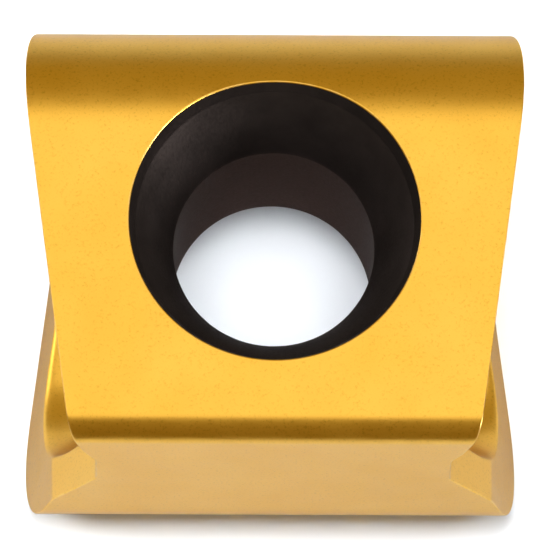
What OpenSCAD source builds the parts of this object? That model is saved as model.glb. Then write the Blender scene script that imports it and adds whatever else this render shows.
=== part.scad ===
// Indexable carbide insert for a face mill, stood on edge in its pocket.
//
// Frame: Z is the axis of the clamping screw and the base seat lies on Z = 0.
// X runs from one rake face to the other, Y along the length. The body is the same
// mirrored in X, and the same turned half a turn about the line y = 0, z = thickness / 2,
// so each rake face has two cutting edges.

/* [Body] */
// Width at the screw axis, measured on either seat face
mid_width = 12.7; // [12:0.05:14]
// Length from end face to end face
length = 12.3; // [11.6:0.05:13]
// Thickness from seat face to seat face
thickness = 11.1; // [10.4:0.05:12]
// Radius of the two long roundings, which are the noses of the cutting edges
nose_radius = 3.55; // [2.8:0.05:4]
// Radius of the two short roundings at the heels
heel_radius = 0.72; // [0.3:0.02:1.2]

/* [Rake faces] */
// Taper of each cutting edge towards its heel, in degrees
edge_taper = 7.4; // [5:0.1:9]
// Slope of the land inward from its cutting edge, in degrees
land_slope = 13.6; // [10:0.1:17]
// Height of the land between the cutting edge and the chip groove
land_height = 1.62; // [1.2:0.02:2]
// Draft of the chip groove's walls, in degrees
groove_draft = 20; // [16:1:30]
// Radius of the chip groove's corner, seen along X
groove_corner = 3.2; // [2:0.02:3.4]
// Distance of the chip groove's end walls from the screw axis, along the length
groove_reach = 5; // [4.7:0.02:5.1]
// Width across the flat floors between the two rake faces
waist_width = 9.62; // [9:0.02:10]

/* [End facets] */
// Slope of the facet behind the nose, in degrees from the floor
nose_facet_slope = 28.5; // [24:0.5:34]
// Slope of the same facet along the length, in degrees
nose_facet_turn = 17.2; // [10:0.2:20]
// Height above the near seat at which the nose facet leaves the land
nose_facet_start = 3.9; // [3.6:0.05:4]
// Slope of the facet at the heel, in degrees from the floor
heel_facet_slope = 21.3; // [18:0.1:26]

/* [Screw hole] */
// Bore diameter, a clearance hole for an M5 screw
bore_d = 5.5; // [5.2:0.05:5.8]
// Diameter of the mouth of the screw seat
mouth_d = 7.92; // [7.4:0.02:8.2]
// Depth from the seat face down to the bore
seat_depth = 2.98; // [2.6:0.02:3.4]
// Depth of the straight wall at the mouth
mouth_wall = 0.3; // [0.28:0.02:0.5]
// Depth at which the steep rim inside the mouth meets the seat
rim_depth = 0.6; // [0.5:0.02:0.8]
// How far the steep rim closes in on its way down, on the radius
rim_step = 0.17; // [0.1:0.01:0.25]
// Radius of the convex seat that the screw head bears on
seat_bulge = 14; // [10:0.5:30]

/* [Hidden] */
$fn = 96;
cut = 20;                 // longer than any side of the body
past = 1;                 // how far a cutter runs on past what it cuts
blend_run = 0.5;          // how far a cut runs on into the groove or below its floor
taper = tan(edge_taper);
slope = tan(land_slope);
draft = tan(groove_draft);
floor_x = waist_width / 2;
mouth_r = mouth_d / 2;
bore_r = bore_d / 2;

// Half the width of a land at a height z above its own seat, on the screw axis
function land_x(z) = mid_width / 2 - slope * z;

// Side view: a rectangle with two large roundings and two small ones, corner to corner
module side_outline() {
    big = nose_radius;
    small = heel_radius;
    difference() {
        translate([-length / 2, 0])
            square([length, thickness]);
        rounded_corner(length / 2, thickness, big, -1, -1);
        rounded_corner(-length / 2, 0, big, 1, 1);
        rounded_corner(-length / 2, thickness, small, 1, -1);
        rounded_corner(length / 2, 0, small, -1, 1);
    }
}

// What a rounding of radius r takes off the corner at (y, z); dy and dz point into the body
module rounded_corner(y, z, r, dy, dz) {
    difference() {
        translate([y + dy * (r - past) / 2, z + dz * (r - past) / 2])
            square([r + past, r + past], center = true);
        translate([y + dy * r, z + dz * r])
            circle(r);
    }
}

// Everything past a plane through p that rises by rise_y per unit of Y and rise_z of Z
module beyond_plane(p, rise_y, rise_z) {
    tilt = atan(rise_z / sqrt(1 + rise_y * rise_y));
    translate(p)
        rotate([0, tilt, -atan(rise_y)])
            translate([0, -cut, -cut])
                cube([cut, 2 * cut, 2 * cut]);
}

// Chip groove of the lower rake face at +X: drafted walls, one round corner, open upwards.
// It is laid out along the tapered edge, from the end wall behind the nose.
module chip_groove() {
    low_z = land_height;
    top_x = land_x(low_z) + taper * groove_reach;
    over = 1.5 * past;
    depth = top_x - floor_x + blend_run;
    deep = depth * draft;
    wide = over * draft;
    corner_z = low_z + groove_corner;
    far_wall = 2 * groove_reach / cos(edge_taper);
    translate([top_x, -groove_reach, 0])
        rotate([0, 0, edge_taper])
            translate([-depth, 0, 0])
                difference() {
                    union() {
                        // round corner by the nose
                        translate([0, groove_corner, corner_z])
                            rotate([0, 90, 0])
                                cylinder(h = depth + over, r1 = groove_corner - deep,
                                         r2 = groove_corner + wide);
                        // long wall beside the land
                        translate([0, groove_corner, 0])
                            rotate([-90, 0, 0])
                                linear_extrude(cut)
                                    polygon([[0, -low_z - deep],
                                             [depth + over, -low_z + wide],
                                             [depth + over, -cut],
                                             [0, -cut]]);
                        // wall behind the nose facet
                        translate([0, 0, corner_z])
                            linear_extrude(cut)
                                polygon([[0, deep],
                                         [depth + over, -wide],
                                         [depth + over, cut],
                                         [0, cut]]);
                    }
                    // wall before the heel facet
                    translate([0, far_wall, 0])
                        linear_extrude(2 * cut)
                            polygon([[-past, -deep - draft * past],
                                     [depth + over + past, wide + draft * past],
                                     [depth + over + past, cut],
                                     [-past, cut]]);
                }
}

// The lower rake face at +X, from the floor out to the land
module rake_block() {
    nose_x = land_x(nose_facet_start) + taper * groove_reach;
    heel_x = land_x(land_height) - taper * length / 2;
    facet_end = blend_run - groove_reach;
    difference() {
        translate([0, -length / 2, 0])
            cube([mid_width, length, thickness]);
        // land
        beyond_plane([mid_width / 2, 0, 0], -taper, -slope);
        // facet behind the nose, which ends inside the groove
        intersection() {
            beyond_plane([nose_x, -groove_reach, nose_facet_start],
                         -tan(nose_facet_turn), -tan(nose_facet_slope));
            translate([0, facet_end - cut, 0])
                cube([cut, cut, cut]);
        }
        // facet at the heel, which leaves the land where the groove's long wall does
        intersection() {
            beyond_plane([heel_x, length / 2, land_height], -taper, -tan(heel_facet_slope));
            cube([cut, cut, cut]);
        }
        chip_groove();
    }
}

// Screw seat at the top: a straight wall, a steep rim, then a convex seat down to the bore
module screw_seat() {
    rim_r = mouth_r - rim_step;
    run = [rim_r - bore_r, seat_depth - rim_depth];
    half_chord = norm(run) / 2;
    across = [run[1], run[0]] / norm(run);
    middle = [(rim_r + bore_r) / 2, (rim_depth + seat_depth) / 2];
    centre = middle + across * sqrt(seat_bulge * seat_bulge - half_chord * half_chord);
    translate([0, 0, thickness])
        mirror([0, 0, 1])
            rotate_extrude()
                difference() {
                    polygon([[0, -past], [mouth_r, -past], [mouth_r, mouth_wall], [rim_r, rim_depth],
                             [bore_r, seat_depth], [0, seat_depth]]);
                    translate(centre)
                        circle(seat_bulge, $fn = 360);
                }
}

module screw_hole() {
    translate([0, 0, -past])
        cylinder(h = thickness + 2 * past, r = bore_r);
    screw_seat();
    half_turn()
        screw_seat();
}

// The half turn about the middle of the body that leaves it unchanged
module half_turn() {
    translate([0, 0, thickness])
        rotate([180, 0, 0])
            children();
}

module insert_body() {
    color("goldenrod")
        difference() {
            intersection() {
                rotate([90, 0, 90])
                    linear_extrude(2 * cut, center = true)
                        side_outline();
                union() {
                    translate([-floor_x, -length / 2, 0])
                        cube([waist_width, length, thickness]);
                    for (side = [0, 1])
                        mirror([side, 0, 0]) {
                            rake_block();
                            half_turn()
                                rake_block();
                        }
                }
            }
            screw_hole();
        }
}

insert_body();
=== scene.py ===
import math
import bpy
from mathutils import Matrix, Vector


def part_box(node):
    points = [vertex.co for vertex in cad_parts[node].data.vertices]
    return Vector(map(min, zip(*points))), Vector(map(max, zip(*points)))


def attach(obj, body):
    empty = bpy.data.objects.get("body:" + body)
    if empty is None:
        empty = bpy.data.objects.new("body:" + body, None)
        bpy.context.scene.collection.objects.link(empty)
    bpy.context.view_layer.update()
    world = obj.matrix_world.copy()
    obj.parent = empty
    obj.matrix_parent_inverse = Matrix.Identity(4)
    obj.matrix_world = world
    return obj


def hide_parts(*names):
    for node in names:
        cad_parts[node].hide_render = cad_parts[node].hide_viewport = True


bl_info = {
    "name": "Face milling insert",
    "version": (1, 0, 0),
    "blender": (4, 5, 0),
    "location": "View3D > Sidebar > Insert",
    "description": "A gold coated carbide insert for a face mill, on a pale table under a softbox",
    "category": "Object",
}

import bmesh
import bpy
import numpy as np
from mathutils import Matrix, Vector
from mathutils.geometry import delaunay_2d_cdt

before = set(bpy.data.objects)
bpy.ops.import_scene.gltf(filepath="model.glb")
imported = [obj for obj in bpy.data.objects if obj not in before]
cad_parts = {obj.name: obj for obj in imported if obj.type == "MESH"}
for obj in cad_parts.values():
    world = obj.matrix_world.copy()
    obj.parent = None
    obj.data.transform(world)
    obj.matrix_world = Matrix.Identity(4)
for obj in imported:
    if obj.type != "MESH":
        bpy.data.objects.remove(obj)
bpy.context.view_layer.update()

MM = 0.001
LOW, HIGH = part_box("insert_body")
SIZE = HIGH - LOW
BODY_NAME = "insert_body_coated"
SEAT_NAME = "screw_seat"


# ---------------------------------------------------------------- sizes and colours

def length_prop(name, description, value):
    """A length that a user can change, given in millimetres and kept in metres."""
    return bpy.props.FloatProperty(name=name, description=description, default=value * MM,
                                   min=0.0, precision=5, subtype="DISTANCE", unit="LENGTH")


def angle_prop(name, description, value):
    """An angle that a user can change, given in degrees."""
    return bpy.props.FloatProperty(name=name, description=description, default=math.radians(value),
                                   subtype="ANGLE", unit="ROTATION")


def colour_prop(name, description, value):
    """A linear colour that a user can change."""
    return bpy.props.FloatVectorProperty(name=name, description=description, default=value,
                                         size=3, min=0.0, max=1.0, subtype="COLOR")


def share_prop(name, description, value):
    """A number from 0 to 1 that a user can change."""
    return bpy.props.FloatProperty(name=name, description=description, default=value,
                                   min=0.0, max=1.0, subtype="FACTOR")


def radiance_prop(name, description, value):
    """The radiance of a lamp, where 1 is white."""
    return bpy.props.FloatProperty(name=name, description=description, default=value, min=0.0)


class InsertSizes(bpy.types.PropertyGroup):
    """Sizes of the insert's body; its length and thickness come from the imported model."""

    mid_width: length_prop("Mid width", "Width at the screw axis, on either seat face", 12.7)
    length: length_prop("Length", "Length from end face to end face", SIZE.y / MM)
    thickness: length_prop("Thickness", "Thickness from seat face to seat face", SIZE.z / MM)
    nose_radius: length_prop("Nose radius", "Radius of the two long roundings", 3.55)
    heel_radius: length_prop("Heel radius", "Radius of the two short roundings", 0.72)
    edge_taper: angle_prop("Edge taper", "Taper of each cutting edge towards its heel", 7.4)
    land_slope: angle_prop("Land slope", "Slope of the land inward from its edge", 13.6)
    land_height: length_prop("Land height", "Height of the land beside the chip groove", 1.62)
    groove_draft: angle_prop("Groove draft", "Draft of the chip groove's walls", 20.0)
    groove_corner: length_prop("Groove corner", "Radius of the chip groove's corner", 3.2)
    groove_reach: length_prop("Groove reach", "Distance of the groove's end walls from the axis", 5.0)
    waist_width: length_prop("Waist width", "Width across the floors of the rake faces", 9.62)
    nose_facet_slope: angle_prop("Nose facet slope", "Slope of the facet behind the nose", 28.5)
    nose_facet_turn: angle_prop("Nose facet turn", "Slope of that facet along the length", 17.2)
    nose_facet_start: length_prop("Nose facet start", "Height at which that facet leaves the land", 3.9)
    heel_facet_slope: angle_prop("Heel facet slope", "Slope of the facet at the heel", 21.3)
    edge_hone: length_prop("Edge hone", "Rounding of the cutting edges and end edges", 0.05)


class SeatSizes(bpy.types.PropertyGroup):
    """Sizes of the screw hole with its two seats."""

    bore_radius: length_prop("Bore radius", "Radius of the clearance hole for the screw", 2.75)
    mouth_radius: length_prop("Mouth radius", "Radius of the hole's mouth", 3.96)
    mouth_hone: length_prop("Mouth hone", "Rounding of the mouth's edge", 0.06)
    rim_step: length_prop("Rim step", "How far the steep rim closes in", 0.17)
    rim_depth: length_prop("Rim depth", "Depth at which the rim meets the seat", 0.6)
    seat_depth: length_prop("Seat depth", "Depth from the seat face to the bore", 2.98)
    seat_bulge: length_prop("Seat bulge", "Radius of the convex seat under the screw head", 14.0)
    slices: bpy.props.IntProperty(name="Slices", description="Slices turned round the axis",
                                  default=240, min=24, max=480)


class CoatingLook(bpy.types.PropertyGroup):
    """Colours and finish of the coated faces and of the screw hole."""

    gold: colour_prop("Gold", "Colour of the coating", (0.93, 0.55, 0.088))
    warm_gold: colour_prop("Warm gold", "Colour of the coating where it lies thicker", (0.91, 0.525, 0.075))
    speck: colour_prop("Speck", "Colour of the coating's finest pits", (0.62, 0.32, 0.03))
    # painted highlight as well as wear: the paler gold along the honed edges
    pale_rub_and_sheen: colour_prop("Rubbed and sheen gold", "Colour of the coating where an edge is worn", (0.95, 0.74, 0.36))
    roughness: share_prop("Roughness", "Roughness of the coated faces", 0.34)
    edge_tint: colour_prop("Edge tint", "Tint of the coating at a glancing angle", (0.64, 0.67, 0.8))
    seat: colour_prop("Seat", "Colour of the bare screw seats", (0.08, 0.064, 0.06))
    bore: colour_prop("Bore", "Colour of the bare bore", (0.13, 0.1, 0.092))
    hole_roughness: share_prop("Hole roughness", "Roughness of the screw hole", 0.43)
    hole_tint: colour_prop("Hole tint", "Tint of the screw hole at a glancing angle", (0.3, 0.27, 0.26))


class StageLook(bpy.types.PropertyGroup):
    """The table, the light and the camera."""

    table: colour_prop("Table", "Colour of the table", (0.77, 0.8, 0.84))
    softbox: radiance_prop("Softbox", "Radiance of the softbox overhead", 1.02)
    table_light: radiance_prop("Table light", "Radiance of the lamp that keeps the table white", 22.5)
    room_light: radiance_prop("Room light", "Radiance of the wide lamp that lights the far table", 0.5)
    right_glint: radiance_prop("Right glint", "Radiance of the low lamp on the +X side", 48.0)
    left_glint: radiance_prop("Left glint", "Radiance of the low lamp on the -X side", 4.0)
    # painted shade: the share of the table's colour on the dimmer copy that only the insert mirrors
    mirror_shade: share_prop("Mirror shade", "Share of the table's colour that the insert mirrors", 0.55)
    room: colour_prop("Room", "Colour of the room behind the insert", (0.36, 0.265, 0.05))
    room_front: colour_prop("Room in front", "Colour of the room on the -Y side", (0.21, 0.14, 0.015))
    elevation: angle_prop("Elevation", "Height of the camera over the table", 73.79)
    azimuth: angle_prop("Azimuth", "Turn of the camera round the screw axis, from -Y to +X", -2.51)
    roll: angle_prop("Roll", "Roll of the camera", 2.65)
    distance: length_prop("Distance", "Distance of the camera from what it aims at", 350.0)
    lens: bpy.props.FloatProperty(name="Lens", description="Focal length of the camera",
                                  default=819.4, unit="CAMERA")


# ---------------------------------------------------------------- shape of the body

GROOVE_PASSES = 20       # passes that settle the groove's walls, which depend on themselves
FACET_LIFT = 0.15        # lifts an end facet out of the way beyond its own end
NOSE_FACET_RUN = 0.5     # how far the nose facet runs on past the groove's end wall, mm
HEEL_FACET_RUN = 0.6     # the same for the heel facet
FACET_SOFTNESS = 0.03    # how far apart two planes start to blend at a crease, in mm
RIDGE_SOFTNESS = 0.26    # the same at the ridge between land and groove
WALL_SOFTNESS = 0.15     # the same where the groove's long wall meets its wall at the heel
FLOOR_SOFTNESS = 0.08    # the same where a facet or a wall meets the floor
GRADIENT_STEP = 1e-4     # mm


def smooth_min(a, b, reach):
    """The smaller of a and b, rounded over where they are within reach of each other."""
    near = np.maximum(reach - np.abs(a - b), 0.0) / reach
    return np.minimum(a, b) - near * near * reach / 4


def smooth_max(a, b, reach):
    """The larger of a and b, rounded over in the same way."""
    return -smooth_min(-a, -b, reach)


class BodyForm:
    """The body in millimetres: its side outline, and its half width at any point of that outline."""

    def __init__(self, sizes):
        self.half_mid = sizes.mid_width / MM / 2
        self.half_length = sizes.length / MM / 2
        self.thickness = sizes.thickness / MM
        self.nose_radius = sizes.nose_radius / MM
        self.heel_radius = sizes.heel_radius / MM
        self.taper = math.tan(sizes.edge_taper)
        self.slope = math.tan(sizes.land_slope)
        self.land_height = sizes.land_height / MM
        self.draft = math.tan(sizes.groove_draft)
        self.corner = sizes.groove_corner / MM
        self.reach = sizes.groove_reach / MM
        self.floor = sizes.waist_width / MM / 2
        self.nose_slope = math.tan(sizes.nose_facet_slope)
        self.nose_turn = math.tan(sizes.nose_facet_turn)
        self.nose_start = sizes.nose_facet_start / MM
        self.heel_slope = math.tan(sizes.heel_facet_slope)
        self.hone = sizes.edge_hone / MM
        self._measure_outline()

    def land(self, y, z):
        """The land, which slopes in from the cutting edge and tapers towards the heel."""
        return self.half_mid - self.taper * y - self.slope * z

    def nose_facet(self, y, z):
        """The facet behind the nose, at the -Y end."""
        start = self.land(-self.reach, self.nose_start)
        facet = start - self.nose_turn * (y + self.reach) - self.nose_slope * (z - self.nose_start)
        return facet + FACET_LIFT * np.square(np.maximum(y + self.reach - NOSE_FACET_RUN, 0.0))

    def heel_facet(self, y, z):
        """The facet at the heel, at the +Y end."""
        facet = self.land(y, self.land_height) - self.heel_slope * (z - self.land_height)
        return facet + FACET_LIFT * np.square(np.maximum(self.reach - HEEL_FACET_RUN - y, 0.0))

    def groove_footprint(self, along, z):
        """Distance into the chip groove's footprint: a long wall, a round corner and two end walls."""
        up = z - self.land_height
        into_corner = self.corner - np.hypot(np.maximum(self.corner - along, 0.0),
                                             np.maximum(self.corner - up, 0.0))
        inside = np.where((along < self.corner) & (up < self.corner),
                          into_corner, np.minimum(along, up))
        heel_wall = 2 * self.reach * math.hypot(1.0, self.taper) - along
        return smooth_min(inside, heel_wall, WALL_SOFTNESS)

    def groove(self, y, z):
        """The groove's drafted walls: under the land inside the footprint, over it outside."""
        turn = math.atan(self.taper)
        across = math.cos(turn)
        skew = math.sin(turn)
        level = np.zeros_like(y)
        for _ in range(GROOVE_PASSES):
            along = (y + self.reach - skew * level) / across
            level = -self.groove_footprint(along, z) / self.draft
        return self.land(-self.reach, self.land_height) + across * level - skew * along

    def lower_rake(self, y, z):
        """The rake face of the lower cutting edge, from its land up to its facets and groove."""
        face = smooth_min(self.land(y, z), self.nose_facet(y, z), FACET_SOFTNESS)
        face = smooth_min(face, self.heel_facet(y, z), FACET_SOFTNESS)
        return smooth_min(face, self.groove(y, z), RIDGE_SOFTNESS)

    def half_width(self, y, z):
        """Distance from the middle plane to a rake face; the half turn gives the upper edge's face."""
        lower = smooth_max(self.lower_rake(y, z), self.floor, FLOOR_SOFTNESS)
        upper = smooth_max(self.lower_rake(-y, self.thickness - z), self.floor, FLOOR_SOFTNESS)
        return smooth_max(lower, upper, FLOOR_SOFTNESS)

    def rake_facing(self, y, z):
        """Outward direction of the rake face on the +X side."""
        step = GRADIENT_STEP
        rise_y = (self.half_width(y + step, z) - self.half_width(y - step, z)) / (2 * step)
        rise_z = (self.half_width(y, z + step) - self.half_width(y, z - step)) / (2 * step)
        facing = np.stack([np.ones_like(y), -rise_y, -rise_z], -1)
        return facing / np.linalg.norm(facing, axis=-1, keepdims=True)

    def _measure_outline(self):
        """Distances along half the outline: end face, heel rounding, seat face, nose rounding, end face."""
        quarter = math.pi / 2
        pieces = [self.thickness / 2 - self.heel_radius,
                  self.heel_radius * quarter,
                  2 * self.half_length - self.heel_radius - self.nose_radius,
                  self.nose_radius * quarter,
                  self.thickness / 2 - self.nose_radius]
        self.marks = np.concatenate([[0.0], np.cumsum(pieces)])
        self.half_round = self.marks[-1]

    def outline_stations(self, spacing):
        """Distances round the whole outline, with one at every end of a straight or a rounding."""
        half = [np.linspace(a, b, max(2, math.ceil((b - a) / spacing) + 1))[:-1]
                for a, b in zip(self.marks[:-1], self.marks[1:])]
        half = np.concatenate(half)
        return np.concatenate([half, half + self.half_round])

    def outline(self, s):
        """Points (y, z) and outward directions at distances s round the outline."""
        s = np.asarray(s, float) % (2 * self.half_round)
        turned = s >= self.half_round
        s = np.where(turned, s - self.half_round, s)
        m = self.marks
        heel_turn = np.clip((s - m[1]) / self.heel_radius, 0.0, math.pi / 2)
        nose_turn = np.clip((s - m[3]) / self.nose_radius, 0.0, math.pi / 2)
        angle = heel_turn + nose_turn
        out_y = -np.cos(angle)
        out_z = np.sin(angle)
        by_nose = s > m[2]
        radius = np.where(by_nose, self.nose_radius, self.heel_radius)
        middle_y = np.where(by_nose, self.half_length - self.nose_radius,
                            self.heel_radius - self.half_length)
        straight_y = np.minimum(s - m[3], 0.0) * by_nose
        straight_z = np.minimum(s - m[1], 0.0) - np.maximum(s - m[4], 0.0)
        y = middle_y + radius * out_y + straight_y
        z = self.thickness - radius + radius * out_z + straight_z
        sign = np.where(turned, -1.0, 1.0)
        return (sign * y, np.where(turned, self.thickness - z, z), sign * out_y, sign * out_z)

    def seat_station(self, y):
        """Distance along the outline at which the upper side has this y."""
        m = self.marks
        centre = self.half_length - self.nose_radius
        over = np.clip((y - centre) / self.nose_radius, 0.0, 1.0)
        return m[3] + np.minimum(y - centre, 0.0) + self.nose_radius * np.arcsin(over)


# ---------------------------------------------------------------- sheets of surface

RAKE, END, EDGE, RIM, SEAT = range(5)     # the last two are bare, and the others coated
WELD = 1e-6              # metres
SAME_POINT = 1e-6        # how near two points of a flat sheet are one point, mm


def strip_faces(rows, columns):
    """Quads between rows of points that close on themselves."""
    row, column = np.meshgrid(np.arange(rows - 1), np.arange(columns), indexing="ij")
    here = row * columns + column
    beside = row * columns + (column + 1) % columns
    return np.stack([here, beside, beside + columns, here + columns], -1).reshape(-1, 4)


def within_fences(faces, fences, free_from):
    """Numbers of the faces that are reached from any free point without crossing a fence."""
    beside = {}
    for number, face in enumerate(faces):
        for a, b in zip(face, face[1:] + face[:1]):
            edge = (min(a, b), max(a, b))
            if edge not in fences:
                beside.setdefault(edge, []).append(number)
    found = {number for number, face in enumerate(faces) if max(face) >= free_from}
    waiting = list(found)
    neighbours = {}
    for pair in beside.values():
        for number in pair:
            neighbours.setdefault(number, []).extend(pair)
    while waiting:
        for number in neighbours.get(waiting.pop(), ()):
            if number not in found:
                found.add(number)
                waiting.append(number)
    return sorted(found)


def fill_outline(loops, inside):
    """Triangles over the points inside the first loop and outside the others, in millimetres."""
    points = np.concatenate([*loops, inside])
    edges = []
    start = 0
    for ring in loops:
        ids = list(range(start, start + len(ring)))
        edges += list(zip(ids, ids[1:] + ids[:1]))
        start += len(ring)
    flat = [Vector(point) for point in points]
    _, _, faces, origins, _, _ = delaunay_2d_cdt(flat, edges, [], 0, SAME_POINT, True)
    if not all(origins):
        raise RuntimeError("the triangles of a sheet needed points that it doesn't have")
    faces = [[origins[corner][0] for corner in face] for face in faces]
    fences = {(min(edge), max(edge)) for edge in edges}
    kept = within_fences(faces, fences, start)
    return points, np.array([faces[number] for number in kept])


class Skin:
    """Collects sheets of surface with their exact outward directions."""

    def __init__(self):
        self.points = []
        self.facing = []
        self.rub_and_sheen = []
        self.faces = []
        self.zones = []
        self.count = 0

    def add(self, points, facing, faces, zone, rub_and_sheen=0.0):
        """Adds a sheet, with every face wound so that it looks outwards."""
        points = np.asarray(points, float).reshape(-1, 3)
        facing = np.asarray(facing, float).reshape(-1, 3)
        corners = points[faces]
        if faces.shape[1] == 4:
            looks = np.cross(corners[:, 2] - corners[:, 0], corners[:, 3] - corners[:, 1])
        else:
            looks = np.cross(corners[:, 1] - corners[:, 0], corners[:, 2] - corners[:, 0])
        inward = np.einsum("ij,ij->i", looks, facing[faces].mean(axis=1)) < 0
        faces = np.where(inward[:, None], faces[:, ::-1], faces)
        self.points.append(points)
        self.facing.append(facing)
        self.rub_and_sheen.append(np.broadcast_to(np.asarray(rub_and_sheen, float), (len(points),)))
        self.faces += (faces + self.count).tolist()
        self.zones += [zone] * len(faces)
        self.count += len(points)

    def add_both_sides(self, points, facing, faces, zone, rub_and_sheen=0.0):
        """Adds a sheet and its mirror image in X."""
        mirror = np.array([-1.0, 1.0, 1.0])
        self.add(points, facing, faces, zone, rub_and_sheen)
        self.add(points * mirror, facing * mirror, faces, zone, rub_and_sheen)

    def add_both_ends(self, points, facing, faces, zone, thickness, rub_and_sheen=0.0):
        """Adds a sheet and the same one given the half turn."""
        turn = np.array([1.0, -1.0, -1.0])
        self.add(points, facing, faces, zone, rub_and_sheen)
        self.add(points * turn + [0.0, 0.0, thickness], facing * turn, faces, zone, rub_and_sheen)

    def build(self, name, materials):
        """One closed mesh of all the sheets, welded, with the sheets' own shading."""
        mesh = bpy.data.meshes.new(name)
        points = np.concatenate(self.points) * MM
        mesh.from_pydata(points.tolist(), [], self.faces)
        mesh.polygons.foreach_set("material_index", [int(zone >= RIM) for zone in self.zones])
        facing = mesh.attributes.new("facing", "FLOAT_VECTOR", "POINT")
        facing.data.foreach_set("vector", np.concatenate(self.facing).astype(np.float32).ravel())
        # the pale mark along the honed edges: wear and a painted highlight
        rub_and_sheen = mesh.attributes.new("edge_rub_and_sheen", "FLOAT", "POINT")
        rub_and_sheen.data.foreach_set("value", np.concatenate(self.rub_and_sheen).astype(np.float32))
        for material in materials:
            mesh.materials.append(material)
        work = bmesh.new()
        work.from_mesh(mesh)
        bmesh.ops.remove_doubles(work, verts=work.verts, dist=WELD)
        open_edges = sum(1 for edge in work.edges if len(edge.link_faces) != 2)
        work.to_mesh(mesh)
        work.free()
        if open_edges:
            raise RuntimeError(f"{name} has {open_edges} open edges")
        shade = np.zeros(len(mesh.vertices) * 3, np.float32)
        mesh.attributes["facing"].data.foreach_get("vector", shade)
        mesh.attributes.remove(mesh.attributes["facing"])
        mesh.polygons.foreach_set("use_smooth", [True] * len(mesh.polygons))
        mesh.normals_split_custom_set_from_vertices(shade.reshape(-1, 3).tolist())
        mesh.update()
        return mesh


def rounded_edge(start, corner, end, start_facing, end_facing, rows):
    """Rows of points over a rounded edge, and the directions they face."""
    t = np.linspace(0.0, 1.0, rows)[:, None, None]
    points = (1 - t) ** 2 * start + 2 * t * (1 - t) * corner + t ** 2 * end
    facing = (1 - t) * start_facing + t * end_facing
    return points, facing / np.linalg.norm(facing, axis=-1, keepdims=True)


# ---------------------------------------------------------------- the body's own sheets

STATION_SPACING = 0.07   # points along the edges, mm
FINE_SPACING = 0.05      # points of a rake face where it bends, mm
COARSE_EVERY = 3         # every third of them is kept where it is flat
BEND_LIMIT = 0.0008      # how much a face may stray between fine points before they are kept, mm
END_SPACING = 0.3        # points across the end faces and seat faces, mm
EDGE_ROWS = 5


def inside_outline(form, y, z, margin):
    """True for points at least margin inside the outline."""
    def clear(y, z, radius):
        past_y = y - (form.half_length - radius)
        past_z = z - (form.thickness - radius)
        round_off = np.hypot(np.maximum(past_y, 0.0), np.maximum(past_z, 0.0))
        return np.where((past_y > 0) & (past_z > 0), round_off < radius - margin, True)

    flat = (np.abs(y) < form.half_length - margin) & (z > margin) & (z < form.thickness - margin)
    noses = clear(y, z, form.nose_radius) & clear(-y, form.thickness - z, form.nose_radius)
    heels = clear(-y, z, form.heel_radius) & clear(y, form.thickness - z, form.heel_radius)
    return flat & noses & heels


def rake_points(form):
    """Points inside a rake face: a coarse lattice, and a fine one along ridges and creases."""
    step = FINE_SPACING
    ys = np.arange(-form.half_length, form.half_length, step)
    zs = np.arange(0.0, form.thickness, step)
    y, z = np.meshgrid(ys, zs, indexing="ij")
    width = form.half_width(y, z)
    bend_y = form.half_width(y + step, z) + form.half_width(y - step, z) - 2 * width
    bend_z = form.half_width(y, z + step) + form.half_width(y, z - step) - 2 * width
    bends = np.abs(bend_y) + np.abs(bend_z) > BEND_LIMIT
    column, row = np.meshgrid(np.arange(len(ys)), np.arange(len(zs)), indexing="ij")
    coarse = (column % COARSE_EVERY == 0) & (row % COARSE_EVERY == 0)
    keep = (bends | coarse) & inside_outline(form, y, z, form.hone + step / 2)
    return np.stack([y[keep], z[keep]], -1)


def add_rake_faces(skin, form, stations):
    """The two rake faces, inside their honed edges."""
    y, z, out_y, out_z = form.outline(stations)
    loop = np.stack([y - form.hone * out_y, z - form.hone * out_z], -1)
    flat, faces = fill_outline([loop], rake_points(form))
    points = np.stack([form.half_width(flat[:, 0], flat[:, 1]), flat[:, 0], flat[:, 1]], -1)
    skin.add_both_sides(points, form.rake_facing(flat[:, 0], flat[:, 1]), faces, RAKE)


def add_honed_edges(skin, form, stations):
    """The honed edge all round each rake face."""
    y, z, out_y, out_z = form.outline(stations)
    zero = np.zeros_like(y)
    width = form.half_width(y, z)
    in_y = y - form.hone * out_y
    in_z = z - form.hone * out_z
    start = np.stack([width - form.hone, y, z], -1)
    corner = np.stack([width, y, z], -1)
    end = np.stack([form.half_width(in_y, in_z), in_y, in_z], -1)
    points, facing = rounded_edge(start, corner, end, np.stack([zero, out_y, out_z], -1),
                                  form.rake_facing(in_y, in_z), EDGE_ROWS)
    # pale mark across the hone, strongest in its middle: wear and a painted highlight
    rub_and_sheen = np.repeat(np.sin(np.linspace(0.0, math.pi, EDGE_ROWS)), len(y))
    faces = strip_faces(EDGE_ROWS, len(y))
    skin.add_both_sides(points.reshape(-1, 3), facing.reshape(-1, 3), faces, EDGE, rub_and_sheen)


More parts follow.
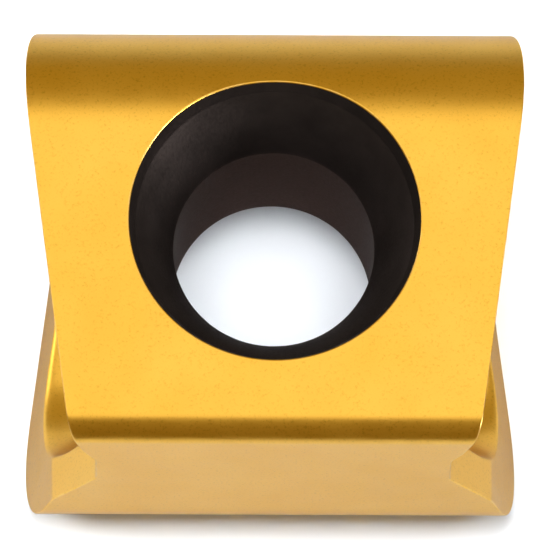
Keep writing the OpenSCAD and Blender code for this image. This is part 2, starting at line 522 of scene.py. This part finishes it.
def add_round_faces(skin, form, stations, mouth):
    """Seat faces, end faces and roundings in one sheet, with the two mouths left open."""
    full = 2 * form.half_round
    y, z, _, _ = form.outline(stations)
    edge = form.half_width(y, z) - form.hone
    s = np.append(stations, full)
    edge = np.append(edge, edge[0])
    across = np.linspace(-edge[0], edge[0], math.ceil(2 * edge[0] / END_SPACING) + 1)[1:-1]
    right = np.stack([s, edge], -1)
    left = np.stack([s, -edge], -1)[::-1]
    first = np.stack([np.zeros_like(across), across], -1)
    last = np.stack([np.full_like(across, full), across], -1)[::-1]
    loop = np.concatenate([right, last, left, first])
    upper = np.stack([form.seat_station(mouth[:, 1]), mouth[:, 0]], -1)
    lower = upper + [form.half_round, 0.0]
    count = math.ceil(edge.max() / END_SPACING)
    columns = np.arange(-count, count + 1) * END_SPACING
    lattice_s, lattice_x = np.meshgrid(stations[1::2], columns, indexing="ij")
    lattice_y, _, _, _ = form.outline(lattice_s)
    in_width = np.abs(lattice_x) < np.interp(lattice_s, s, edge) - END_SPACING / 4
    mouth_radius = np.hypot(mouth[0, 0], mouth[0, 1])
    clear = np.hypot(lattice_x, lattice_y) > mouth_radius + STATION_SPACING / 2
    keep = in_width & clear
    inside = np.stack([lattice_s[keep], lattice_x[keep]], -1)
    flat, faces = fill_outline([loop, upper, lower], inside)
    y, z, out_y, out_z = form.outline(flat[:, 0])
    points = np.stack([flat[:, 1], y, z], -1)
    skin.add(points, np.stack([np.zeros_like(y), out_y, out_z], -1), faces, END)


# ---------------------------------------------------------------- the screw hole

CREASE = 0.03            # rounding on each side of a crease in the hole, mm
SEAT_ROWS = 16
BORE_ROWS = 8
MOUTH_ROWS = 5
RIM_ROWS = 5


class SeatForm:
    """The screw hole in millimetres: the outline of its upper half, from the rim down."""

    def __init__(self, sizes, thickness):
        self.thickness = thickness
        self.bore = sizes.bore_radius / MM
        self.mouth = sizes.mouth_radius / MM
        self.hone = sizes.mouth_hone / MM
        self.rim = self.mouth - sizes.rim_step / MM
        self.rim_z = thickness - sizes.rim_depth / MM
        self.throat_z = thickness - sizes.seat_depth / MM
        self.bulge = sizes.seat_bulge / MM
        self.angles = 2 * math.pi * np.arange(sizes.slices) / sizes.slices
        self._draw_outline()

    def _draw_outline(self):
        """Radius and height of the convex seat and the bore, with the way each point faces."""
        top = np.array([self.rim, self.rim_z])
        throat = np.array([self.bore, self.throat_z])
        chord = throat - top
        half = np.linalg.norm(chord) / 2
        outward = np.array([-chord[1], chord[0]]) / (2 * half)
        centre = (top + throat) / 2 + outward * math.sqrt(self.bulge ** 2 - half ** 2)
        first = math.atan2(*(top - centre)[::-1]) % (2 * math.pi)
        last = math.atan2(*(throat - centre)[::-1]) % (2 * math.pi)
        gap = CREASE / self.bulge * np.sign(last - first)
        turns = np.concatenate([[first], np.linspace(first + gap, last - gap, SEAT_ROWS), [last]])
        seat = centre + self.bulge * np.stack([np.cos(turns), np.sin(turns)], -1)
        down = np.linspace(self.throat_z - CREASE, self.thickness / 2, BORE_ROWS)
        bore = np.stack([np.full(BORE_ROWS, self.bore), down], -1)
        self.outline = np.concatenate([seat, bore])
        seat_facing = (centre - seat) / self.bulge
        seat_facing = np.where(seat_facing[:, :1] > 0, -seat_facing, seat_facing)
        bore_facing = np.tile([-1.0, 0.0], (BORE_ROWS, 1))
        facing = np.concatenate([seat_facing, bore_facing])
        facing[len(seat) - 1] += bore_facing[0]
        facing[0] += self.rim_facing(self.thickness)
        self.facing = facing / np.linalg.norm(facing, axis=-1, keepdims=True)

    def rim_facing(self, mouth_z):
        """Which way the rim faces below a point of the mouth, as (away from the axis, up)."""
        drop = np.asarray(mouth_z) - self.rim_z
        facing = np.stack([-drop, np.full_like(drop, self.mouth - self.rim)], -1)
        return facing / np.linalg.norm(facing, axis=-1, keepdims=True)

    def ring(self, radius):
        """Points (x, y) of a circle about the axis, one for each slice."""
        return radius * np.sin(self.angles), radius * np.cos(self.angles)

    def spin(self, facing):
        """Turns (away from the axis, up) directions into directions in space, one for each slice."""
        return np.stack([facing[..., 0] * np.sin(self.angles), facing[..., 0] * np.cos(self.angles),
                         facing[..., 1]], -1)


def add_mouths_and_rims(skin, form, seat):
    """The honed edge of each mouth and the steep rim inside it."""
    wide_x, wide_y = seat.ring(seat.mouth + seat.hone)
    _, wide_z, out_y, out_z = form.outline(form.seat_station(wide_y))
    x, y = seat.ring(seat.mouth)
    _, z, _, _ = form.outline(form.seat_station(y))
    rim_x, rim_y = seat.ring(seat.rim)
    start = np.stack([wide_x, wide_y, wide_z], -1)
    corner = np.stack([x, y, z], -1)
    end = corner - [0.0, 0.0, seat.hone]
    crease = np.stack([rim_x, rim_y, np.full_like(rim_x, seat.rim_z)], -1)
    rim_facing = seat.spin(seat.rim_facing(z))
    seat_facing = np.stack([np.zeros_like(out_y), out_y, out_z], -1)
    points, facing = rounded_edge(start, corner, end, seat_facing, rim_facing, MOUTH_ROWS)
    # pale mark across the mouth's hone, strongest in its middle: wear and a painted highlight
    rub_and_sheen = np.repeat(np.sin(np.linspace(0.0, math.pi, MOUTH_ROWS)), len(x))
    faces = strip_faces(MOUTH_ROWS, len(x))
    skin.add_both_ends(points.reshape(-1, 3), facing.reshape(-1, 3), faces, EDGE, form.thickness, rub_and_sheen)
    length = np.linalg.norm(crease - end, axis=-1).min()
    t = np.append(np.linspace(0.0, 1.0 - CREASE / length, RIM_ROWS - 1), 1.0)[:, None, None]
    points = end + t * (crease - end)
    facing = np.repeat(rim_facing[None], RIM_ROWS, axis=0)
    facing[-1] = seat.spin(np.broadcast_to(seat.facing[0], (len(x), 2)))
    faces = strip_faces(RIM_ROWS, len(x))
    skin.add_both_ends(points.reshape(-1, 3), facing.reshape(-1, 3), faces, RIM, form.thickness)


def add_seats(skin, seat, turned):
    """The turned seats and the bore, with the directions that their outline gives."""
    points = np.array([vertex.co for vertex in turned.vertices]) / MM
    faces = np.array([list(polygon.vertices) for polygon in turned.polygons])
    lower = points[:, 2] < seat.thickness / 2
    height = np.where(lower, seat.thickness - points[:, 2], points[:, 2])
    climb = seat.outline[::-1, 1]
    away = np.interp(height, climb, seat.facing[::-1, 0])
    up = np.interp(height, climb, seat.facing[::-1, 1]) * np.where(lower, -1.0, 1.0)
    radius = np.hypot(points[:, 0], points[:, 1])
    facing = np.stack([away * points[:, 0] / radius, away * points[:, 1] / radius, up], -1)
    skin.add(points, facing / np.linalg.norm(facing, axis=-1, keepdims=True), faces, SEAT)


def seat_slice(seat):
    """One slice of the upper seat and half the bore, as a mesh in metres."""
    step = 2 * math.pi / len(seat.angles)
    rows = len(seat.outline)
    points = [(radius * math.sin(angle) * MM, radius * math.cos(angle) * MM, z * MM)
              for angle in (0.0, step) for radius, z in seat.outline]
    faces = [(i, i + 1, rows + i + 1, rows + i) for i in range(rows - 1)]
    mesh = bpy.data.meshes.new("seat_slice")
    mesh.from_pydata(points, [], faces)
    return mesh


def turned_seat_tree():
    """Geometry nodes that turn a slice round the screw axis and repeat it with the half turn."""
    tree = bpy.data.node_groups.new("turned_seat", "GeometryNodeTree")
    face = tree.interface
    for name, kind in (("Slice", "Geometry"), ("Slices", "Int"), ("Thickness", "Float"),
                       ("Finish", "Material")):
        face.new_socket(name, in_out="INPUT", socket_type=f"NodeSocket{kind}")
    face.new_socket("Seats", in_out="OUTPUT", socket_type="NodeSocketGeometry")
    add = tree.nodes.new
    link = tree.links.new
    given = add("NodeGroupInput")
    line = add("GeometryNodeMeshLine")
    line.inputs["Offset"].default_value = (0.0, 0.0, 0.0)
    link(given.outputs["Slices"], line.inputs["Count"])
    step = add("ShaderNodeMath")
    step.operation = "DIVIDE"
    step.inputs[0].default_value = 2 * math.pi
    link(given.outputs["Slices"], step.inputs[1])
    angle = add("ShaderNodeMath")
    angle.operation = "MULTIPLY"
    link(add("GeometryNodeInputIndex").outputs[0], angle.inputs[0])
    link(step.outputs[0], angle.inputs[1])
    spin = add("ShaderNodeCombineXYZ")
    link(angle.outputs[0], spin.inputs["Z"])
    slices = add("GeometryNodeInstanceOnPoints")
    link(line.outputs[0], slices.inputs["Points"])
    link(given.outputs["Slice"], slices.inputs["Instance"])
    link(spin.outputs[0], slices.inputs["Rotation"])
    lift = add("ShaderNodeCombineXYZ")
    link(given.outputs["Thickness"], lift.inputs["Z"])
    half_turn = add("GeometryNodeTransform")
    half_turn.inputs["Rotation"].default_value = (math.pi, 0.0, 0.0)
    link(slices.outputs[0], half_turn.inputs["Geometry"])
    link(lift.outputs[0], half_turn.inputs["Translation"])
    both = add("GeometryNodeJoinGeometry")
    link(slices.outputs[0], both.inputs[0])
    link(half_turn.outputs[0], both.inputs[0])
    realize = add("GeometryNodeRealizeInstances")
    link(both.outputs[0], realize.inputs[0])
    finish = add("GeometryNodeSetMaterial")
    link(realize.outputs[0], finish.inputs["Geometry"])
    link(given.outputs["Finish"], finish.inputs["Material"])
    link(finish.outputs[0], add("NodeGroupOutput").inputs[0])
    return tree


def set_tree_inputs(modifier, values):
    """Sets a modifier's inputs by name, through each socket's identifier."""
    for item in modifier.node_group.interface.items_tree:
        if item.item_type == "SOCKET" and item.in_out == "INPUT" and item.name in values:
            modifier[item.identifier] = values[item.name]


def plain_mesh(obj):
    """Replaces an object's modifiers by their result."""
    bpy.context.view_layer.update()
    result = bpy.data.meshes.new_from_object(obj.evaluated_get(bpy.context.evaluated_depsgraph_get()))
    obj.modifiers.clear()
    obj.data = result
    return result


# ---------------------------------------------------------------- finishes

# Cells to a millimetre of each pattern, from the coarsest to the finest
CLOUDS = 0.35            # clouds of colour in the coating
HOLE_PATCHES = 0.8       # patches of colour in the screw seats
SMEARS = 1.1             # patches of gloss on the coating
RUB_AND_SHEEN_PATCHES = 2.5       # wear and painted highlight along the coated edges
RIPPLES = 4.5            # gentle waves of the coating
HOLE_GRAIN = 12.0
GOLD_GRAIN = 14.0

GOLD_BUMP = 0.0008       # depth of the coating's bumps, mm
HOLE_BUMP = 0.0016       # the same in the screw hole
HOLE_METALLIC = 0.92
SEAT_SHADE = 0.75        # share of the seat's colour in its darker patches
THROAT_FADE = 0.1        # distance from the throat at which the seat's colour or the bore's is pure, mm


class Nodes:
    """Short hand for building a material's nodes."""

    def __init__(self, name):
        self.material = bpy.data.materials.get(name) or bpy.data.materials.new(name)
        self.material.use_nodes = True
        self.tree = self.material.node_tree
        self.tree.nodes.clear()
        self.shader = self.add("ShaderNodeBsdfPrincipled")
        output = self.add("ShaderNodeOutputMaterial")
        self.link(self.shader.outputs[0], output.inputs["Surface"])
        self.place = self.add("ShaderNodeTexCoord").outputs["Object"]

    def add(self, kind, **settings):
        node = self.tree.nodes.new(kind)
        for key, value in settings.items():
            setattr(node, key, value)
        return node

    def link(self, source, target):
        self.tree.links.new(source, target)

    def noise(self, per_mm, detail, roughness=0.55):
        """Noise with this many cells to a millimetre."""
        node = self.add("ShaderNodeTexNoise")
        node.inputs["Scale"].default_value = per_mm / MM
        node.inputs["Detail"].default_value = detail
        node.inputs["Roughness"].default_value = roughness
        self.link(self.place, node.inputs["Vector"])
        return node.outputs["Fac"]

    def ramp(self, source, first, last, start, end):
        """Maps first..last to start..end, held at the ends; first may be the larger."""
        node = self.add("ShaderNodeMapRange")
        values = zip(("From Min", "From Max", "To Min", "To Max"), (first, last, start, end))
        for key, value in values:
            node.inputs[key].default_value = value
        self.link(source, node.inputs["Value"])
        return node.outputs["Result"]

    def math(self, operation, a, b):
        """One sum, product or the like of two values, each a socket or a number."""
        node = self.add("ShaderNodeMath", operation=operation)
        for number, value in enumerate((a, b)):
            if isinstance(value, (int, float)):
                node.inputs[number].default_value = value
            else:
                self.link(value, node.inputs[number])
        return node.outputs[0]

    def blend(self, share, a, b):
        """A colour between a and b."""
        node = self.add("ShaderNodeMix", data_type="RGBA")
        self.link(share, node.inputs["Factor"])
        for name, value in (("A", a), ("B", b)):
            socket = next(s for s in node.inputs if s.name == name and s.type == "RGBA")
            if isinstance(value, bpy.types.NodeSocket):
                self.link(value, socket)
            else:
                socket.default_value = (*value, 1.0)
        return next(s for s in node.outputs if s.type == "RGBA")

    def bump(self, height, depth_mm):
        """Bumps of this depth."""
        node = self.add("ShaderNodeBump")
        node.inputs["Distance"].default_value = depth_mm * MM
        self.link(height, node.inputs["Height"])
        self.link(node.outputs[0], self.shader.inputs["Normal"])


def gold_coating(look):
    """Satin gold coating over a finely blasted surface, paler along honed edges: wear and a painted
    highlight.
    """
    n = Nodes("gold_coating")
    cloud = n.noise(CLOUDS, 2.0)
    tint = n.blend(n.ramp(cloud, 0.35, 0.65, 0.0, 1.0), look.gold, look.warm_gold)
    grain = n.noise(GOLD_GRAIN, 4.0, 0.6)
    tint = n.blend(n.ramp(grain, 0.46, 0.3, 0.0, 0.55), tint, look.speck)
    # paler gold in patches along the honed edges: wear and a painted highlight
    rub_and_sheen = n.add("ShaderNodeAttribute", attribute_name="edge_rub_and_sheen").outputs["Fac"]
    patchy = n.math("MULTIPLY", rub_and_sheen, n.ramp(n.noise(RUB_AND_SHEEN_PATCHES, 4.0), 0.4, 0.65, 0.0, 0.45))
    n.link(n.blend(patchy, tint, look.pale_rub_and_sheen), n.shader.inputs["Base Color"])
    n.shader.inputs["Metallic"].default_value = 1.0
    n.shader.inputs["Specular Tint"].default_value = (*look.edge_tint, 1.0)
    smear = n.noise(SMEARS, 3.0)
    rough = n.math("ADD", n.ramp(grain, 0.3, 0.7, -0.03, 0.03),
                   n.ramp(smear, 0.35, 0.65, look.roughness - 0.015, look.roughness + 0.02))
    n.link(rough, n.shader.inputs["Roughness"])
    n.bump(n.math("ADD", grain, n.math("MULTIPLY", n.noise(RIPPLES, 3.0), 0.4)), GOLD_BUMP)
    return n.material


def bare_hole(scene):
    """Dark, fine satin of the screw hole, which the coating hardly reaches; the bore is lighter."""
    look = scene.coating_look
    middle = scene.insert_sizes.thickness / 2
    throat = middle - scene.seat_sizes.seat_depth
    n = Nodes("bare_hole")
    split = n.add("ShaderNodeSeparateXYZ")
    n.link(n.place, split.inputs[0])
    from_middle = n.math("ABSOLUTE", n.math("SUBTRACT", split.outputs["Z"], middle), 0.0)
    in_seat = n.ramp(from_middle, throat - THROAT_FADE * MM, throat + THROAT_FADE * MM, 0.0, 1.0)
    patch = n.ramp(n.noise(HOLE_PATCHES, 3.0), 0.35, 0.65, 0.0, 1.0)
    dark_seat = tuple(channel * SEAT_SHADE for channel in look.seat)
    colour = n.blend(in_seat, look.bore, n.blend(patch, look.seat, dark_seat))
    n.link(colour, n.shader.inputs["Base Color"])
    n.shader.inputs["Metallic"].default_value = HOLE_METALLIC
    n.shader.inputs["Specular Tint"].default_value = (*look.hole_tint, 1.0)
    grain = n.noise(HOLE_GRAIN, 4.0, 0.6)
    n.link(n.ramp(grain, 0.3, 0.7, look.hole_roughness - 0.05, look.hole_roughness + 0.06),
           n.shader.inputs["Roughness"])
    n.bump(grain, HOLE_BUMP)
    return n.material


def pale_table(name, colour):
    """Matt, nearly white table."""
    n = Nodes(name)
    n.shader.inputs["Base Color"].default_value = (*colour, 1.0)
    n.shader.inputs["Roughness"].default_value = 0.9
    n.shader.inputs["Specular IOR Level"].default_value = 0.1
    return n.material


# ---------------------------------------------------------------- operators

def new_object(name, mesh):
    """A mesh object in the scene, at the origin."""
    obj = bpy.data.objects.new(name, mesh)
    bpy.context.scene.collection.objects.link(obj)
    return obj


class INSERT_OT_screw_seat(bpy.types.Operator):
    """Turn the screw seats and the bore round the axis"""

    bl_idname = "insert.screw_seat"
    bl_label = "Screw seats"

    def execute(self, context):
        sizes = context.scene.insert_sizes
        seat = SeatForm(context.scene.seat_sizes, sizes.thickness / MM)
        obj = new_object(SEAT_NAME, seat_slice(seat))
        modifier = obj.modifiers.new("turned_seat", "NODES")
        modifier.node_group = turned_seat_tree()
        set_tree_inputs(modifier, {"Slices": len(seat.angles), "Thickness": sizes.thickness,
                                   "Finish": bare_hole(context.scene)})
        plain_mesh(obj)
        return {"FINISHED"}


class INSERT_OT_body(bpy.types.Operator):
    """Build the coated body round the screw seats"""

    bl_idname = "insert.body"
    bl_label = "Coated body"

    def execute(self, context):
        scene = context.scene
        turned = bpy.data.objects.get(SEAT_NAME)
        if turned is None:
            raise RuntimeError("make the screw seats first")
        form = BodyForm(scene.insert_sizes)
        seat = SeatForm(scene.seat_sizes, form.thickness)
        stations = form.outline_stations(STATION_SPACING)
        skin = Skin()
        add_rake_faces(skin, form, stations)
        add_honed_edges(skin, form, stations)
        add_round_faces(skin, form, stations, np.stack(seat.ring(seat.mouth + seat.hone), -1))
        add_mouths_and_rims(skin, form, seat)
        add_seats(skin, seat, turned.data)
        finishes = [gold_coating(scene.coating_look), bare_hole(scene)]
        body = new_object(BODY_NAME, skin.build(BODY_NAME, finishes))
        bpy.data.objects.remove(turned)
        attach(body, "root")
        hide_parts("insert_body")
        return {"FINISHED"}


def area_light(name, place, aim, size, radiance, glossy=True, diffuse=True):
    """A rectangular lamp at place that faces aim; mirror images or matt surfaces can leave it out."""
    lamp = bpy.data.lights.new(name, "AREA")
    lamp.shape = "RECTANGLE"
    lamp.size, lamp.size_y = size
    lamp.energy = radiance * math.pi * size[0] * size[1]
    obj = new_object(name, lamp)
    obj.location = place
    obj.rotation_euler = (Vector(aim) - Vector(place)).to_track_quat("-Z", "Y").to_euler()
    obj.visible_glossy = glossy
    obj.visible_diffuse = diffuse
    obj.visible_camera = False


# Lamps that mirror images leave out and that keep the table white round the insert: the place
# from the centre of the base and the size, both in metres, and the share of the table light
TABLE_LAMPS = {
    "table_light": ((0.0, -0.0065, 0.06), 0.026, 1.0),
    "left_light": ((-0.03, -0.008, 0.036), 0.012, 1.3),
    "right_light": ((0.03, -0.008, 0.036), 0.012, 0.6),
    "back_light": ((0.0, 0.045, 0.04), 0.012, 0.9),
}
TABLE_REACH = 60 * SIZE.x       # how far the table reaches on every side
MIRRORED_REACH = 2 * SIZE.y     # how far towards -Y the table shows in the insert's mirror images
SHEET_GAP = 0.01 * MM           # between the base, the dimmer mirror-only table with its painted shade, and the table
ROOM_EDGE = 0.9                 # the direction's y at which the room's colour stops changing
CAMERA_AIM = Vector((0.0109, 0.1225, 0.0351)) * SIZE.y     # from the centre of the base


class INSERT_OT_stage(bpy.types.Operator):
    """Set the table, the lights and the camera"""

    bl_idname = "insert.stage"
    bl_label = "Table, light and camera"

    def execute(self, context):
        look = context.scene.stage_look
        centre = Vector(((LOW.x + HIGH.x) / 2, (LOW.y + HIGH.y) / 2, LOW.z))
        self.table(look, centre)
        self.lights(look, centre)
        self.camera(context.scene, look, centre)
        context.scene.world = self.room(look)
        context.scene.view_settings.view_transform = "Standard"
        return {"FINISHED"}

    def room(self, look):
        """The dim room that the insert mirrors: darker on the -Y side, and no light on the table."""
        world = bpy.data.worlds.new("room")
        world.use_nodes = True
        tree = world.node_tree
        split = tree.nodes.new("ShaderNodeSeparateXYZ")
        tree.links.new(tree.nodes.new("ShaderNodeTexCoord").outputs["Generated"], split.inputs[0])
        ramp = tree.nodes.new("ShaderNodeValToRGB")
        low, high = ramp.color_ramp.elements
        low.color = (*look.room_front, 1.0)
        high.color = (*look.room, 1.0)
        rise = tree.nodes.new("ShaderNodeMapRange")
        rise.inputs["From Min"].default_value = -ROOM_EDGE
        rise.inputs["From Max"].default_value = ROOM_EDGE
        tree.links.new(split.outputs["Y"], rise.inputs["Value"])
        tree.links.new(rise.outputs["Result"], ramp.inputs["Fac"])
        tree.links.new(ramp.outputs["Color"], tree.nodes["Background"].inputs["Color"])
        world.cycles_visibility.diffuse = False
        return world

    def table(self, look, centre):
        """The table, and a dimmer copy on it that only the insert's mirror images show, which paints shade
        into the table they mirror.
        """
        table = self.sheet("table", centre, 2 * SHEET_GAP, TABLE_REACH, look.table)
        table.visible_glossy = False
        # painted shade: the copy that only mirror images show is darker than the table
        dim = tuple(channel * look.mirror_shade for channel in look.table)
        mirror_shade = self.sheet("mirror_shade_table", centre, SHEET_GAP, MIRRORED_REACH, dim)
        mirror_shade.visible_camera = False
        mirror_shade.visible_diffuse = False
        mirror_shade.visible_shadow = False

    def sheet(self, name, centre, drop, front, colour):
        """A wide flat sheet this far below the base, which reaches this far towards -Y."""
        reach = TABLE_REACH
        mesh = bpy.data.meshes.new(name)
        corners = [(-reach, -front), (reach, -front), (reach, reach), (-reach, reach)]
        mesh.from_pydata([(centre.x + x, centre.y + y, centre.z - drop) for x, y in corners],
                         [], [(0, 1, 2, 3)])
        mesh.materials.append(pale_table(name, colour))
        obj = new_object(name, mesh)
        return obj

    def lights(self, look, centre):
        """The softbox, lamps that mirror images leave out, and two low ones that matt surfaces do."""
        area_light("softbox", centre + Vector((0.0, 0.075, 0.4)), centre, (1.0, 0.36), look.softbox)
        for name, (place, size, share) in TABLE_LAMPS.items():
            area_light(name, centre + Vector(place), centre, (size, size), look.table_light * share,
                       glossy=False)
        area_light("room_light", centre + Vector((0.0, 0.0, 0.8)), centre, (1.6, 1.6), look.room_light,
                   glossy=False)
        # it glints in the -X half of the screw seat and on the +X rake face
        area_light("right_glint", centre + Vector((0.32, -0.18, 0.14)), centre, (0.1, 0.1),
                   look.right_glint, diffuse=False)
        # it glints on the -X rake face and on the +X side of the mouth
        area_light("left_glint", centre + Vector((-0.36, 0.13, 0.08)), centre, (0.2, 0.1),
                   look.left_glint, diffuse=False)

    def camera(self, scene, look, centre):
        """The camera, far above the insert, with a long lens."""
        aim = centre + CAMERA_AIM
        away = Vector((math.sin(look.azimuth) * math.cos(look.elevation),
                       -math.cos(look.azimuth) * math.cos(look.elevation),
                       math.sin(look.elevation)))
        data = bpy.data.cameras.new("camera")
        data.sensor_width = 36.0
        data.lens = look.lens
        data.clip_start = 0.01
        data.clip_end = 10.0
        obj = new_object("camera", data)
        turn = (-away).to_track_quat("-Z", "Y").to_matrix().to_4x4()
        roll = Matrix.Rotation(look.roll, 4, "Z")
        obj.matrix_world = Matrix.Translation(aim + away * look.distance) @ turn @ roll
        scene.camera = obj


class INSERT_PT_panel(bpy.types.Panel):
    """Lists the insert's sizes, colours and steps"""

    bl_idname = "INSERT_PT_panel"
    bl_label = "Face milling insert"
    bl_space_type = "VIEW_3D"
    bl_region_type = "UI"
    bl_category = "Insert"

    def draw(self, context):
        for group_name in GROUPS:
            group = getattr(context.scene, group_name)
            box = self.layout.box()
            for key in group.bl_rna.properties.keys():
                if key not in ("rna_type", "name"):
                    box.prop(group, key)
        for operator in STEPS:
            self.layout.operator(operator.bl_idname)


GROUPS = {"insert_sizes": InsertSizes, "seat_sizes": SeatSizes,
          "coating_look": CoatingLook, "stage_look": StageLook}
STEPS = (INSERT_OT_screw_seat, INSERT_OT_body, INSERT_OT_stage)
CLASSES = (*GROUPS.values(), *STEPS, INSERT_PT_panel)


def register():
    for cls in CLASSES:
        bpy.utils.register_class(cls)
    for name, group in GROUPS.items():
        setattr(bpy.types.Scene, name, bpy.props.PointerProperty(type=group))


def unregister():
    for name in GROUPS:
        delattr(bpy.types.Scene, name)
    for cls in reversed(CLASSES):
        bpy.utils.unregister_class(cls)


def main():
    register()
    bpy.ops.insert.screw_seat()
    bpy.ops.insert.body()
    bpy.ops.insert.stage()


if __name__ == "__main__":
    main()
